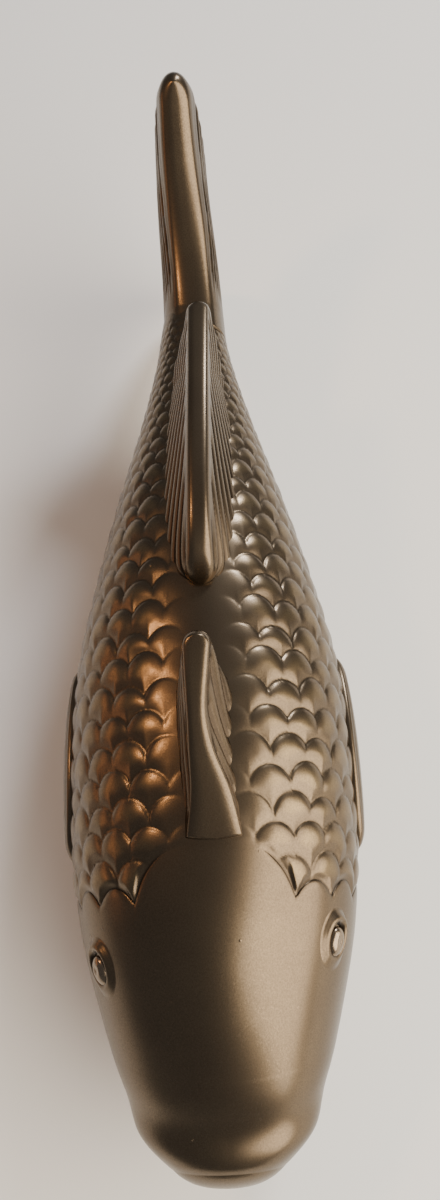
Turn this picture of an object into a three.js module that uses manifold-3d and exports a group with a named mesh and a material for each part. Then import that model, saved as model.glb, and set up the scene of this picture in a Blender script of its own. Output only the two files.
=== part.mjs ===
// A carp figure in bronze-lustre stoneware: a hollow body that lies on its belly with its tail raised.
// The body is press-moulded as a head and two flanks. Fins, lips and eyes are moulded by themselves and
// luted on with slip before the firing, and felt pads are glued under the flat foot.
// Millimetres, +Z up. The nose points to -X, the tail to +X, and the foot pads stand on Z = 0.
import * as THREE from "three";
import { mergeVertices } from "three/addons/utils/BufferGeometryUtils.js";
import Module from "manifold-3d";

const wasm = await Module();
wasm.setup();

// ---- driving dimensions ----
const OVERALL_LENGTH = 600; // lips to tail tip
const BODY_LENGTH = 480; // nose to the end of the tail stock
const BODY_HALF_WIDTH = 79;
const BACK_HEIGHT = 149; // highest point of the back above the table
const NOSE_ROUNDING = 25; // length over which the snout closes
const WALL = 6;
const SLIP_GAP = 0.3; // layer of slip between luted members
const HEAD_LENGTH = 146; // nose to the gill opening at the widest height
const GILL_SWEEP = 16; // how far the throat end of the gill line lies in front of its nape end
const PAD_THICKNESS = 2;
const PAD_RADIUS = 8;
const FRONT_PAD_SET_BACK = 11; // behind the gill line
const REAR_PADS_AT = 0.66; // as a share of the body's length
const PAD_SPREAD = 15; // from the middle of the foot to each pad's centre
const VENT_RADIUS = 6; // firing vent in the foot

const UPPER_LIP_RADIUS = 10;
const LOWER_LIP_RADIUS = 8;
const LIP_PARTING = 1.2; // gap between the lips
const LOWER_LIP_SET_BACK = 4;

const EYE_RING_RADIUS = 10;
const EYE_RING_TUBE = 3.6;
const EYE_BEAD_RADIUS = 6;

const FRONT_DORSAL_SET_BACK = 12; // its leading foot, behind the gill line
const FRONT_DORSAL_LENGTH = 96;
const FRONT_DORSAL_HEIGHT = 37; // above the back
const FRONT_DORSAL_STEP = 2; // its leading foot stands this far above the back
const REAR_DORSAL_AT = 0.602;
const REAR_DORSAL_LENGTH = 172;
const REAR_DORSAL_HEIGHT = 30;
const REAR_DORSAL_OVERHANG = 36; // free tip behind its heel
const DORSAL_ROOT_THICKNESS = 34;
const DORSAL_EDGE_THICKNESS = 14;
const FIN_RAKE = 8; // how far a fin's root and its tip are offset at its ends

const TAIL_TOP = 207; // upper lobe's tip above the table
const TAIL_LOW = 14; // lower lobe's tip above the table
const TAIL_FORK_DEPTH = 52;
const TAIL_ROOT_THICKNESS = 40;
const TAIL_TIP_THICKNESS = 22;
const TAIL_EDGE_THICKNESS = 13; // along the upper and lower edges

const PECTORAL_LENGTH = 112;
const PECTORAL_HEIGHT = 46;
const PECTORAL_THICKNESS = 6;
const PECTORAL_SET_BACK = 8; // its root, behind the gill line
const PECTORAL_DROP = 8; // its root, below the widest line
const PECTORAL_SWEEP = 6; // how far its tip rises
const PELVIC_AT = 0.56; // as a share of the body's length
const PELVIC_LENGTH = 60;
const PELVIC_HEIGHT = 26;
const PELVIC_THICKNESS = 5;
const PELVIC_DROP = 52;
const PELVIC_SWEEP = 5;
const ANAL_AT = 0.75;
const ANAL_LENGTH = 60;
const ANAL_DEPTH = 30; // below the belly at its heel
const ANAL_THICKNESS = 15;

// ---- fineness of the faceted surfaces ----
const RIBS = 36; // facets round the body
const STATIONS = 24; // facets along the body
const ROUND = 20; // facets round a small circle
const CURVE_FACETS = 8; // facets along each curve of an outline
const LIP_ROUTE_POINTS = 10; // stretches between the chosen points of a lip's route
const LIP_STEPS = 18; // facets along a lip
const LIP_CURVE_FACETS = 5;
const EYE_ROUND = 8; // facets round an eye ring's tube, and from pole to pole of a bead
const BEAD_ROUND = 16;
const WELD = 1e-4; // corners nearer than this are one
const NOSE_START = 0.2; // the snout ends in a flat this far along, behind the lips

// ---- places that follow from them ----
const NOSE_X = -OVERALL_LENGTH / 2 + UPPER_LIP_RADIUS;
const TAIL_X = OVERALL_LENGTH / 2;
const FOOT_Z = PAD_THICKNESS + SLIP_GAP;
const FAR = OVERALL_LENGTH; // reach of a cutting tool beyond anything it cuts
const PAST = 1; // how far a fin's plan and cross-section run past its outline

// Side view and plan of the body. Each row is a place along it as a share of its length, then the half
// width as a share of the widest, and the top, the widest height and the bottom as shares of the back.
const STATION_ROWS = [
  [0.0, 0.5, 0.57, 0.42, 0.3],
  [0.052, 0.62, 0.665, 0.435, 0.22],
  [0.15, 0.81, 0.82, 0.46, 0.085],
  [0.255, 0.955, 0.93, 0.5, -0.01],
  [0.4, 1.0, 0.995, 0.535, -0.045],
  [0.54, 0.95, 1.0, 0.55, -0.05],
  [0.66, 0.79, 0.98, 0.57, -0.03],
  [0.755, 0.63, 0.94, 0.6, 0.07],
  [0.86, 0.43, 0.885, 0.65, 0.265],
  [0.94, 0.3, 0.86, 0.69, 0.42],
  [1.0, 0.24, 0.865, 0.7, 0.48],
];
const profile = new THREE.CubicInterpolant(
  STATION_ROWS.map((row) => row[0]),
  STATION_ROWS.flatMap((row) => row.slice(1)),
  STATION_ROWS[0].length - 1,
);

// The body's section at a distance along it from the nose, with its skin moved out by grow.
function section(along, grow = 0) {
  const share = THREE.MathUtils.clamp(along / BODY_LENGTH, 0, 1);
  const [half, top, middle, bottom] = profile.evaluate(share);
  const reach = THREE.MathUtils.clamp((along + grow) / (NOSE_ROUNDING + grow), 0, 1);
  const closing = Math.sqrt(1 - (1 - reach) ** 2);
  return {
    half: (half * BODY_HALF_WIDTH + grow) * closing,
    middle: middle * BACK_HEIGHT,
    rise: ((top - middle) * BACK_HEIGHT + grow) * closing,
    drop: ((middle - bottom) * BACK_HEIGHT + grow) * closing,
  };
}

// A point of the skin. The angle round the body is 0 at the left flank and a right angle at the back.
function skinPoint(along, angle, grow = 0) {
  const { half, middle, rise, drop } = section(along, grow);
  const lift = Math.sin(angle);
  return new THREE.Vector3(
    NOSE_X + along,
    -half * Math.cos(angle),
    middle + lift * (lift > 0 ? rise : drop),
  );
}

const backHeight = (along) => skinPoint(along, Math.PI / 2).z;
const bellyHeight = (along) => skinPoint(along, -Math.PI / 2).z;
const backX = (share) => NOSE_X + share * BODY_LENGTH;

// ---- solids ----
function solid(geometry) {
  const bare = geometry.clone();
  for (const name of Object.keys(bare.attributes)) {
    if (name !== "position") bare.deleteAttribute(name);
  }
  const merged = mergeVertices(bare, WELD);
  return new wasm.Manifold(
    new wasm.Mesh({
      numProp: 3,
      vertProperties: new Float32Array(merged.attributes.position.array),
      triVerts: new Uint32Array(merged.index.array),
    }),
  );
}

function geometryOf(manifold) {
  const mesh = manifold.getMesh();
  const geometry = new THREE.BufferGeometry();
  geometry.setAttribute("position", new THREE.BufferAttribute(mesh.vertProperties, 3));
  geometry.setIndex(new THREE.BufferAttribute(mesh.triVerts, 1));
  const flat = geometry.toNonIndexed();
  flat.computeVertexNormals();
  return flat;
}

// A solid that fills the body's skin from the nose to an end, which may change round the body. A drum of
// radius 1 is bent to shape: its side becomes the skin, and its caps' centres stay on the middle line.
function bodyFill(grow, endAt) {
  const drum = new THREE.CylinderGeometry(1, 1, 1, RIBS, STATIONS);
  const spots = drum.attributes.position;
  for (let i = 0; i < spots.count; i += 1) {
    const angle = Math.atan2(spots.getZ(i), spots.getX(i));
    const start = NOSE_START - grow;
    const run = spots.getY(i) + 0.5;
    const along = start + (endAt(angle) - start) * (1 - Math.cos((run * Math.PI) / 2));
    const onSkin = Math.hypot(spots.getX(i), spots.getZ(i)) > 0.5;
    const { middle } = section(along, grow);
    const spot = onSkin
      ? skinPoint(along, angle, grow)
      : new THREE.Vector3(NOSE_X + along, 0, middle);
    spots.setXYZ(i, spot.x, spot.y, spot.z);
  }
  return solid(drum);
}

function block(low, high) {
  const size = new THREE.Vector3().subVectors(high, low);
  const middle = new THREE.Vector3().addVectors(low, high).multiplyScalar(0.5);
  return solid(new THREE.BoxGeometry(size.x, size.y, size.z).translate(middle.x, middle.y, middle.z));
}

const below = (height) => block(new THREE.Vector3(-FAR, -FAR, -FAR), new THREE.Vector3(FAR, FAR, height));
const leftOf = (y) => block(new THREE.Vector3(-FAR, -FAR, -FAR), new THREE.Vector3(FAR, y, FAR));
const rightOf = (y) => block(new THREE.Vector3(-FAR, y, -FAR), new THREE.Vector3(FAR, FAR, FAR));

// ---- the body: head, left flank and right flank ----
const gillLine = (angle) => HEAD_LENGTH + (GILL_SWEEP / 2) * Math.sin(angle);
const outerSkin = bodyFill(0, () => BODY_LENGTH);
const seat = bodyFill(SLIP_GAP, () => BODY_LENGTH + SLIP_GAP);

function bodyShell() {
  const hollow = bodyFill(-WALL, () => BODY_LENGTH + WALL).subtract(below(FOOT_Z + WALL));
  const vent = solid(
    new THREE.CylinderGeometry(VENT_RADIUS, VENT_RADIUS, BACK_HEIGHT, ROUND)
      .rotateX(Math.PI / 2)
      .translate(backX(0.5), 0, 0),
  );
  return outerSkin.subtract(below(FOOT_Z)).subtract(hollow).subtract(vent);
}
const shell = bodyShell();

const headShell = () => shell.intersect(bodyFill(WALL, gillLine));
const trunkShell = shell.subtract(bodyFill(WALL, (angle) => gillLine(angle) + SLIP_GAP));
const leftFlank = () => trunkShell.subtract(rightOf(-SLIP_GAP / 2));
const rightFlank = () => trunkShell.subtract(leftOf(SLIP_GAP / 2));

// ---- upright fins: a side outline, a plan and a cross-section, cut out of one blank ----
// Turns a flat outline into a long prism that shows it from the side, from above or from the end.
const X = new THREE.Vector3(1, 0, 0);
const Y = new THREE.Vector3(0, 1, 0);
const Z = new THREE.Vector3(0, 0, 1);
const TURN = {
  side: new THREE.Matrix4().makeBasis(X, Z, Y.clone().negate()),
  top: new THREE.Matrix4().makeBasis(X, Y, Z),
  end: new THREE.Matrix4().makeBasis(Y, Z, X),
};
function prism(outline, view) {
  const depth = 2 * FAR;
  const options = { depth, bevelEnabled: false, curveSegments: CURVE_FACETS };
  const bar = new THREE.ExtrudeGeometry(outline, options);
  bar.translate(0, 0, -FAR);
  bar.applyMatrix4(TURN[view]);
  return solid(bar);
}

// An outline that is the same on both sides of a centre line, from [place, thickness] pairs.
function centred(rows, view) {
  const spot = (at, out) => (view === "top" ? new THREE.Vector2(at, out) : new THREE.Vector2(out, at));
  const there = rows.map(([at, thick]) => spot(at, -thick / 2));
  const back = rows.map(([at, thick]) => spot(at, thick / 2)).reverse();
  return new THREE.Shape([...there, ...back]);
}

function uprightFin(outline, plan, cross) {
  return prism(outline, "side")
    .intersect(prism(centred(plan, "top"), "top"))
    .intersect(prism(centred(cross, "end"), "end"))
    .subtract(seat);
}

const FIN_ROOT_DEPTH = 14; // how far a blank reaches into the body before its seat is cut

function frontDorsalFin() {
  const foot = NOSE_X + HEAD_LENGTH + FRONT_DORSAL_SET_BACK;
  const heel = foot + FRONT_DORSAL_LENGTH;
  const root = backHeight(foot - NOSE_X);
  const tip = backHeight(heel - NOSE_X) + FRONT_DORSAL_HEIGHT;
  const outline = new THREE.Shape();
  // up the leading foot, along the crest, round the tip and down the hollow heel
  outline.moveTo(foot - FIN_RAKE, root - FIN_ROOT_DEPTH);
  outline.lineTo(foot, root + FRONT_DORSAL_STEP);
  outline.quadraticCurveTo(foot + FRONT_DORSAL_LENGTH * 0.55, tip - 11, heel - 5, tip);
  outline.quadraticCurveTo(heel + 1, tip - 3, heel, tip - 8);
  outline.quadraticCurveTo(heel - 12, root + 10, heel - FIN_RAKE, root - FIN_ROOT_DEPTH);
  outline.closePath();
  const plan = [
    [foot - FIN_RAKE, DORSAL_ROOT_THICKNESS * 0.85],
    [foot + 30, DORSAL_ROOT_THICKNESS],
    [heel + 2 * PAST, DORSAL_ROOT_THICKNESS * 0.7],
  ];
  const cross = [
    [root - FIN_ROOT_DEPTH, DORSAL_ROOT_THICKNESS],
    [root, DORSAL_ROOT_THICKNESS],
    [tip + PAST, DORSAL_EDGE_THICKNESS],
  ];
  return uprightFin(outline, plan, cross);
}

function rearDorsalFin() {
  const nose = backX(REAR_DORSAL_AT);
  const end = nose + REAR_DORSAL_LENGTH;
  const root = backHeight(nose - NOSE_X);
  const crest = root + REAR_DORSAL_HEIGHT;
  const heel = end - REAR_DORSAL_OVERHANG;
  const heelRoot = backHeight(heel - NOSE_X);
  const outline = new THREE.Shape();
  // up the steep nose, along the crest, round the free tip and back under it to the heel
  outline.moveTo(nose + FIN_RAKE / 2, root - FIN_ROOT_DEPTH);
  outline.lineTo(nose, root);
  outline.quadraticCurveTo(nose + FIN_RAKE, crest - 6, nose + 42, crest - 2);
  outline.bezierCurveTo(nose + 80, crest + 2, end - 40, crest - 4, end - 3, crest - 13);
  outline.quadraticCurveTo(end + 1, crest - 18, end - 5, crest - 22);
  outline.quadraticCurveTo(heel + FIN_RAKE, heelRoot + 8, heel + FIN_RAKE, heelRoot + 1);
  outline.lineTo(heel, heelRoot - FIN_ROOT_DEPTH);
  outline.closePath();
  const plan = [
    [nose, DORSAL_ROOT_THICKNESS * 0.75],
    [nose + 40, DORSAL_ROOT_THICKNESS],
    [nose + 90, DORSAL_ROOT_THICKNESS],
    [end + PAST, DORSAL_EDGE_THICKNESS],
  ];
  const cross = [
    [heelRoot - FIN_ROOT_DEPTH, DORSAL_ROOT_THICKNESS],
    [root, DORSAL_ROOT_THICKNESS],
    [crest + PAST, DORSAL_EDGE_THICKNESS],
  ];
  return uprightFin(outline, plan, cross);
}

function analFin() {
  const start = backX(ANAL_AT);
  const end = start + ANAL_LENGTH;
  const root = bellyHeight(start - NOSE_X);
  const heelRoot = bellyHeight(end - FIN_RAKE - NOSE_X);
  const edge = heelRoot - ANAL_DEPTH;
  const outline = new THREE.Shape();
  // down the leading edge, round the tip and up the hollow heel
  outline.moveTo(start, root + FIN_ROOT_DEPTH);
  outline.quadraticCurveTo(start + 4, root - 4, start + ANAL_LENGTH * 0.6, edge);
  outline.quadraticCurveTo(end - 4, edge - 1, end, edge + 10);
  outline.quadraticCurveTo(end - 14, heelRoot - 6, end - FIN_RAKE, heelRoot + FIN_ROOT_DEPTH);
  outline.closePath();
  const plan = [
    [start, ANAL_THICKNESS],
    [end, ANAL_THICKNESS * 0.7],
  ];
  const cross = [
    [edge - PAST, ANAL_THICKNESS * 0.6],
    [heelRoot + FIN_ROOT_DEPTH, ANAL_THICKNESS],
  ];
  return uprightFin(outline, plan, cross);
}

// The tail fin stands upright behind the tail stock, forked, with its upper lobe raised high.
function tailFin() {
  const root = NOSE_X + BODY_LENGTH + SLIP_GAP;
  const top = backHeight(BODY_LENGTH);
  const low = bellyHeight(BODY_LENGTH);
  const middle = (top + low) / 2;
  const outline = new THREE.Shape();
  // up the root, along the upper lobe, into the fork, round the lower lobe and back
  outline.moveTo(root, low);
  outline.lineTo(root, top);
  outline.quadraticCurveTo(root + 46, top + 14, TAIL_X - 12, TAIL_TOP - 2);
  outline.quadraticCurveTo(TAIL_X - 1, TAIL_TOP + 2, TAIL_X, TAIL_TOP - 12);
  outline.quadraticCurveTo(TAIL_X - 4, middle + 34, TAIL_X - TAIL_FORK_DEPTH, middle - 4);
  outline.quadraticCurveTo(TAIL_X - 16, TAIL_LOW + 44, TAIL_X - 14, TAIL_LOW + 10);
  outline.quadraticCurveTo(TAIL_X - 16, TAIL_LOW - 1, TAIL_X - 28, TAIL_LOW + 4);
  outline.quadraticCurveTo(root + 26, low - 14, root, low);
  const plan = [
    [root - PAST, TAIL_ROOT_THICKNESS],
    [TAIL_X + PAST, TAIL_TIP_THICKNESS],
  ];
  const cross = [
    [TAIL_LOW - PAST, TAIL_EDGE_THICKNESS],
    [low + 12, TAIL_ROOT_THICKNESS],
    [top - 12, TAIL_ROOT_THICKNESS],
    [TAIL_TOP + PAST, TAIL_EDGE_THICKNESS],
  ];
  return uprightFin(outline, plan, cross);
}

// ---- paired fins: a fan that lies along the flank, as thick as given ----
function flankFin(outline, thickness, side) {
  const layer = bodyFill(thickness, () => BODY_LENGTH).subtract(seat);
  const leftFin = layer.intersect(prism(outline, "side")).subtract(rightOf(0));
  return side < 0 ? leftFin : leftFin.mirror([0, 1, 0]);
}

// A leaf with a blunt root. Its upper and its lower edge are one curve each, and sweep raises its tip.
function fanOutline(rootX, rootZ, length, height, sweep) {
  const outline = new THREE.Shape();
  outline.moveTo(rootX, rootZ + height * 0.28);
  outline.bezierCurveTo(
    rootX + length * 0.3,
    rootZ + height * 0.62,
    rootX + length * 0.75,
    rootZ + height * 0.5 + sweep,
    rootX + length,
    rootZ + height * 0.1 + sweep,
  );
  outline.bezierCurveTo(
    rootX + length * 0.9,
    rootZ - height * 0.35 + sweep,
    rootX + length * 0.45,
    rootZ - height * 0.6,
    rootX,
    rootZ - height * 0.22,
  );
  outline.closePath();
  return outline;
}

function pectoralFin(side) {
  const rootX = NOSE_X + HEAD_LENGTH + PECTORAL_SET_BACK;
  const rootZ = section(HEAD_LENGTH).middle - PECTORAL_DROP;
  const outline = fanOutline(rootX, rootZ, PECTORAL_LENGTH, PECTORAL_HEIGHT, PECTORAL_SWEEP);
  return flankFin(outline, PECTORAL_THICKNESS, side);
}

function pelvicFin(side) {
  const rootX = backX(PELVIC_AT);
  const rootZ = section(PELVIC_AT * BODY_LENGTH).middle - PELVIC_DROP;
  const outline = fanOutline(rootX, rootZ, PELVIC_LENGTH, PELVIC_HEIGHT, PELVIC_SWEEP);
  return flankFin(outline, PELVIC_THICKNESS, side);
}

// ---- lips: two rolls round the snout ----
const LIP_TURN = 1.45; // half the turn of a lip round the snout, in radians
const LIP_EMBED = 0.83; // a lip's half width, as a share of the snout's
const LIP_DROOP = 8; // how far the corners of the mouth hang
function lip(radius, side, setBack) {
  const { half, middle } = section(NOSE_ROUNDING);
  const height = side * (radius + LIP_PARTING / 2);
  const route = [];
  for (let i = 0; i <= LIP_ROUTE_POINTS; i += 1) {
    const turn = ((i / LIP_ROUTE_POINTS) * 2 - 1) * LIP_TURN;
    const along = NOSE_ROUNDING * (1 - Math.cos(turn)) + setBack;
    const droop = LIP_DROOP * Math.sin(turn) ** 2;
    const across = half * LIP_EMBED * Math.sin(turn);
    route.push(new THREE.Vector3(NOSE_X + along, across, middle + height - droop));
  }
  const roll = new THREE.Shape();
  roll.absellipse(0, 0, radius, radius, 0, Math.PI * 2, false, 0);
  const tube = new THREE.ExtrudeGeometry(roll, {
    steps: LIP_STEPS,
    curveSegments: LIP_CURVE_FACETS,
    bevelEnabled: false,
    extrudePath: new THREE.CatmullRomCurve3(route),
  });
  return solid(tube).subtract(seat);
}

// ---- eyes ----
// The eyes were set by hand, the right one a little nearer the lips.
const LEFT_EYE_AT = 0.225; // as a share of the body's length
const RIGHT_EYE_AT = 0.207;
const EYE_ANGLE = 0.56; // height round the section, in radians above the widest line
// Lays a geometry that faces +Z on the skin, where two short steps over the skin give its slope.
function onEye(geometry, side) {
  const along = (side < 0 ? LEFT_EYE_AT : RIGHT_EYE_AT) * BODY_LENGTH;
  const spot = skinPoint(along, EYE_ANGLE);
  const ahead = skinPoint(along + 1, EYE_ANGLE).sub(spot);
  const round = skinPoint(along, EYE_ANGLE + 0.01).sub(spot);
  const outward = new THREE.Vector3().crossVectors(ahead, round).normalize();
  if (outward.y > 0) outward.negate();
  geometry.applyQuaternion(
    new THREE.Quaternion().setFromUnitVectors(new THREE.Vector3(0, 0, 1), outward),
  );
  geometry.translate(spot.x, spot.y, spot.z);
  const left = solid(geometry).subtract(seat);
  return side < 0 ? left : left.mirror([0, 1, 0]);
}
const eyeRing = (side) =>
  onEye(new THREE.TorusGeometry(EYE_RING_RADIUS, EYE_RING_TUBE, EYE_ROUND, ROUND), side);
const eyeBead = (side) => onEye(new THREE.SphereGeometry(EYE_BEAD_RADIUS, BEAD_ROUND, EYE_ROUND), side);

// ---- felt pads ----
function footPad(x, side) {
  const disc = new THREE.CylinderGeometry(PAD_RADIUS, PAD_RADIUS, PAD_THICKNESS, ROUND);
  disc.rotateX(Math.PI / 2);
  disc.translate(x, side * PAD_SPREAD, PAD_THICKNESS / 2);
  return solid(disc);
}

// ---- materials ----
const lustre = { color: 0x4b3b2d, roughness: 0.36, metalness: 0.85 };
const head = new THREE.MeshStandardMaterial({ ...lustre, color: 0x5c4f42 });
const flank = new THREE.MeshStandardMaterial(lustre);
const fin = new THREE.MeshStandardMaterial({ ...lustre, color: 0x40322a });
const eye = new THREE.MeshStandardMaterial({ ...lustre, color: 0x6a5a48, roughness: 0.28 });
const felt = new THREE.MeshStandardMaterial({ color: 0x3a3a38, roughness: 0.95, metalness: 0 });

function member(name, manifold, material) {
  const mesh = new THREE.Mesh(geometryOf(manifold), material);
  mesh.name = name;
  return mesh;
}

const carp = new THREE.Group();
carp.add(
  member("head_shell", headShell(), head),
  member("left_flank_shell", leftFlank(), flank),
  member("right_flank_shell", rightFlank(), flank),
  member("upper_lip", lip(UPPER_LIP_RADIUS, 1, 0), head),
  member("lower_lip", lip(LOWER_LIP_RADIUS, -1, LOWER_LIP_SET_BACK), head),
  member("front_dorsal_fin", frontDorsalFin(), fin),
  member("rear_dorsal_fin", rearDorsalFin(), fin),
  member("tail_fin", tailFin(), fin),
  member("anal_fin", analFin(), fin),
);
for (const [name, side] of [["left", -1], ["right", 1]]) {
  carp.add(
    member(`${name}_pectoral_fin`, pectoralFin(side), fin),
    member(`${name}_pelvic_fin`, pelvicFin(side), fin),
    member(`${name}_eye_ring`, eyeRing(side), head),
    member(`${name}_eye_bead`, eyeBead(side), eye),
    member(`${name}_front_pad`, footPad(NOSE_X + HEAD_LENGTH + FRONT_PAD_SET_BACK, side), felt),
    member(`${name}_rear_pad`, footPad(backX(REAR_PADS_AT), side), felt),
  );
}

export default carp;
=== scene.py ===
"""A carp figure in press-moulded stoneware under a bronze lustre glaze.

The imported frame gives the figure's places and overall sizes. The pieces are a head, two scaled flanks,
lips, eyes, fins and felt pads. Shapes are worked out in millimetres and laid down in metres, with the
nose towards -X, the tail towards +X and the figure's left flank towards -Y.
"""

import logging
import math
from dataclasses import dataclass, field
from enum import Enum
from typing import Any, Callable

import bmesh
import bpy
import numpy as np
from mathutils import Matrix, Vector


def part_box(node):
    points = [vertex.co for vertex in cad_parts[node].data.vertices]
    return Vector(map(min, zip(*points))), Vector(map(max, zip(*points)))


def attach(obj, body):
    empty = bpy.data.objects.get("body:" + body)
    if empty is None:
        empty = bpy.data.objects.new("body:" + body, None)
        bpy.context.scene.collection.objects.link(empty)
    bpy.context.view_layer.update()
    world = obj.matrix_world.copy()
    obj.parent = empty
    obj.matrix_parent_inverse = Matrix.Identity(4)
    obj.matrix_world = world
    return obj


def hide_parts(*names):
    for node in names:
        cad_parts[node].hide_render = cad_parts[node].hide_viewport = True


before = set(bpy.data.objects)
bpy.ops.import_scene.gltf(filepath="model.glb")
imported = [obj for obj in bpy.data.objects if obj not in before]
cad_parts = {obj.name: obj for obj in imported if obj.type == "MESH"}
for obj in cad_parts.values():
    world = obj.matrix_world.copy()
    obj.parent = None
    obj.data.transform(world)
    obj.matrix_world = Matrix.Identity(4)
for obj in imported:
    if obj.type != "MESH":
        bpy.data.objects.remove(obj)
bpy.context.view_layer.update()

MM = 0.001
LEAST = 1e-3  # keeps a half width off zero, in millimetres
SPECK = 1e-6  # keeps a divisor that is a share off zero
WELD = 1e-6  # points nearer than this are one, in metres
SHARP_ANGLE = math.radians(58)
RELIEF = "relief"  # the carved height, from which the glaze paints shade with its pool in hollows and highlights with its break on edges
BARE = -2.0  # its value where there is no glaze

Array = np.ndarray
Place = Callable[[Array, Array], tuple[Array, Array]]
log = logging.getLogger("carp")


class Side(Enum):
    """The figure's own left and right, as the sign of Y."""

    LEFT = -1
    RIGHT = 1

    @property
    def word(self) -> str:
        """The side's name in a piece's name."""
        return self.name.lower()


# ---- small helpers ----
def smoothstep(low: float, high: float, at: Array) -> Array:
    """Rises smoothly from 0 to 1.

    Args:
        low: where the rise starts.
        high: where it ends.
        at: the places to work it out for.

    Returns:
        The rise at each place.
    """
    share = np.clip((at - low) / (high - low), 0.0, 1.0)
    return share * share * (3.0 - 2.0 * share)


def quarter_round(share: Array) -> Array:
    """A quarter circle's rise from 0 to 1 over a share of 0 to 1."""
    return np.sqrt(1.0 - (1.0 - np.clip(share, 0.0, 1.0)) ** 2)


def through(knots: Array, values: Array, at: Array) -> Array:
    """A smooth curve through knots, whose slope at a knot is the mean of its two neighbouring slopes.

    Args:
        knots: rising places.
        values: one value for each.
        at: the places to work it out for.

    Returns:
        The curve's values there.
    """
    rise = np.diff(values) / np.diff(knots)
    slopes = np.concatenate((rise[:1], (rise[1:] + rise[:-1]) / 2, rise[-1:]))
    low = np.clip(np.searchsorted(knots, at, side="right") - 1, 0, len(knots) - 2)
    gap = knots[low + 1] - knots[low]
    share = (at - knots[low]) / gap
    rest = 1.0 - share
    straight = values[low] * rest**2 * (1 + 2 * share) + values[low + 1] * share**2 * (3 - 2 * share)
    return straight + gap * share * rest * (slopes[low] * rest - slopes[low + 1] * share)


def column(*parts: Array) -> Array:
    """Joins coordinates, each an array or one number, into an array of points."""
    return np.stack(np.broadcast_arrays(*parts), axis=-1).astype(float)


@dataclass
class Outline:
    """A chain of lines and Bezier curves in the side view, followed by a share of its length.

    Attributes:
        start: its first point.
        segments: for each stretch its control points and its end: 1 point is a line, 2 a quadratic
            curve and 3 a cubic one.
        steps: samples along each stretch.
    """

    start: tuple[float, float]
    segments: list[tuple[tuple[float, float], ...]]
    steps: int = 24

    def __post_init__(self) -> None:
        """Samples the chain once."""
        spots = [np.array([self.start], float)]
        for segment in self.segments:
            poles = np.array([spots[-1][-1], *segment], float)
            degree = len(poles) - 1
            along = np.linspace(0, 1, self.steps + 1)[1:, None]
            spots.append(
                sum(
                    math.comb(degree, i) * along**i * (1 - along) ** (degree - i) * pole
                    for i, pole in enumerate(poles)
                )
            )
        self.spots = np.concatenate(spots)
        lengths = np.linalg.norm(np.diff(self.spots, axis=0), axis=1)
        self.run = np.concatenate(([0.0], np.cumsum(lengths))) / lengths.sum()

    def at(self, share: Array) -> Array:
        """The points at these shares of the length."""
        return column(*(np.interp(share, self.run, self.spots[:, axis]) for axis in (0, 1)))


# ---- meshes ----
def box_mm(node: str) -> tuple[Vector, Vector]:
    """The low and high corners of a CAD node's box, in millimetres."""
    low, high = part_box(node)
    return low / MM, high / MM


def add_object(name: str, data: bpy.types.ID) -> bpy.types.Object:
    """Makes an object and links it to the scene."""
    made = bpy.data.objects.new(name, data)
    bpy.context.scene.collection.objects.link(made)
    return made


def lay_grid(mesh: bmesh.types.BMesh, columns: int, rows: int, place: Place) -> None:
    """Adds a grid and lays each of its points where place says.

    Args:
        mesh: the mesh that takes the grid.
        columns: cells along the first share.
        rows: cells along the second share.
        place: turns two arrays of shares into points in millimetres and their relief.
    """
    relief = mesh.verts.layers.float.get(RELIEF) or mesh.verts.layers.float.new(RELIEF)
    made = bmesh.ops.create_grid(mesh, x_segments=columns, y_segments=rows, size=0.5)["verts"]
    cells = np.array([columns, rows])
    shares = np.round((np.array([vert.co[:2] for vert in made]) + 0.5) * cells) / cells
    points, heights = place(shares[:, 0], shares[:, 1])
    for vert, point, height in zip(made, (points * MM).tolist(), heights.tolist()):
        vert.co = point
        vert[relief] = height


def face_out(mesh: bmesh.types.BMesh) -> None:
    """Turns the faces of a closed mesh outwards."""
    bmesh.ops.recalc_face_normals(mesh, faces=mesh.faces)
    if mesh.calc_volume(signed=True) < 0:
        bmesh.ops.reverse_faces(mesh, faces=mesh.faces)


def close_up(mesh: bmesh.types.BMesh) -> None:
    """Welds seams and poles, walls the gap between two open rims, and turns the faces outwards."""
    bmesh.ops.remove_doubles(mesh, verts=mesh.verts, dist=WELD)
    bmesh.ops.dissolve_degenerate(mesh, edges=mesh.edges, dist=WELD)
    rims = [edge for edge in mesh.edges if edge.is_boundary]
    if rims:
        bmesh.ops.bridge_loops(mesh, edges=rims)
    face_out(mesh)


def mark_bare(mesh: bmesh.types.BMesh) -> None:
    """Gives the faces that hold no glaze the second material."""
    relief = mesh.verts.layers.float[RELIEF]
    for face in mesh.faces:
        face.material_index = int(max(vert[relief] for vert in face.verts) <= BARE / 2)


def make_piece(
    mesh: bmesh.types.BMesh, name: str, node: str, finishes: list[bpy.types.Material]
) -> bpy.types.Object:
    """Turns a finished mesh into a piece that stands for a CAD node.

    Args:
        mesh: the closed mesh, which is freed.
        name: the piece's name.
        node: the CAD node it stands for.
        finishes: its materials.

    Returns:
        The piece.
    """
    data = bpy.data.meshes.new(name)
    mesh.to_mesh(data)
    mesh.free()
    data.shade_smooth()
    data.set_sharp_from_angle(angle=SHARP_ANGLE)
    for finish in finishes:
        data.materials.append(finish)
    piece = add_object(name, data)
    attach(piece, "root")
    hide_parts(node)
    log.info("%s: %d faces, stands for %s", name, len(data.polygons), node)
    return piece


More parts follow.
